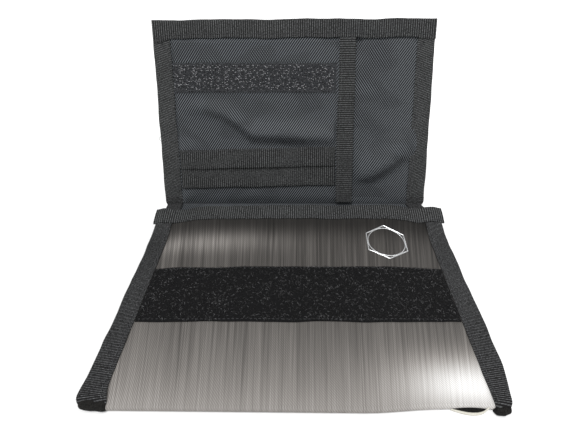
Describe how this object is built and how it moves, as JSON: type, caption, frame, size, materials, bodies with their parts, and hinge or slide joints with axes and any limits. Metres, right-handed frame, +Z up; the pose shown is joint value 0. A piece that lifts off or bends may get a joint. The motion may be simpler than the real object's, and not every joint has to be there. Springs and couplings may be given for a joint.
{
  "type": "document wallet",
  "caption": "Flat nylon document wallet: a wide open-mouthed pouch, a folding spine and a cover flap with pockets inside, closed by hook-and-loop strips.",
  "frame": {"origin": "on the table, in the middle of the pouch's back face, which is also the middle of the ground that the pouch and spine cover", "axes": "+X across the wallet to the right, +Y from the pouch's bottom fold to the spine, +Z up out of the pouch's front"},
  "size_m": [0.257, 0.2694, 0.152],
  "materials": {
    "print_cloth": "fine twill printed with brushed grey streaks, slightly glossy",
    "lining_cloth": "black nylon twill",
    "binding_tape": "black ribbed grosgrain tape",
    "side_binding_tape": "black ribbed grosgrain tape, stitched",
    "loop_tape": "black brushed loop tape",
    "hook_tape": "black hook tape",
    "board": "plain stiffener board",
    "silver_badge": "satin silver"
  },
  "bodies": {
    "pouch": {"front_panel": "print_cloth", "back_cover": "print_cloth", "back_stiffener": "board", "back_lining": "lining_cloth", "front_lining": "lining_cloth", "loop_strip": "loop_tape", "mouth_binding": "binding_tape", "emblem": "silver_badge", "pouch_binding_left": "side_binding_tape", "pouch_binding_right": "side_binding_tape"},
    "spine": {"spine_cover": "print_cloth", "spine_lining": "lining_cloth", "spine_binding_left": "side_binding_tape", "spine_binding_right": "side_binding_tape"},
    "flap": {"flap_cover": "print_cloth", "flap_stiffener": "board", "flap_lining": "lining_cloth", "document_pocket": "lining_cloth", "lower_card_pocket": "lining_cloth", "lower_pocket_binding": "binding_tape", "upper_card_pocket": "lining_cloth", "upper_pocket_binding": "binding_tape", "hook_strip": "hook_tape", "divider_binding": "binding_tape", "flap_binding_left": "binding_tape", "flap_binding_right": "binding_tape", "flap_binding_top": "binding_tape"}
  },
  "joints": [
    {"name": "spine_fold", "type": "hinge", "parent": "pouch", "child": "spine", "pos_m": [0, 0.07975, 0.0024], "axis": [1, 0, 0], "range_deg": [0, 54]},
    {"name": "flap_fold", "type": "hinge", "parent": "spine", "child": "flap", "pos_m": [0, 0.10025, 0.0034], "axis": [1, 0, 0], "range_deg": [-66, 63]}
  ]
}
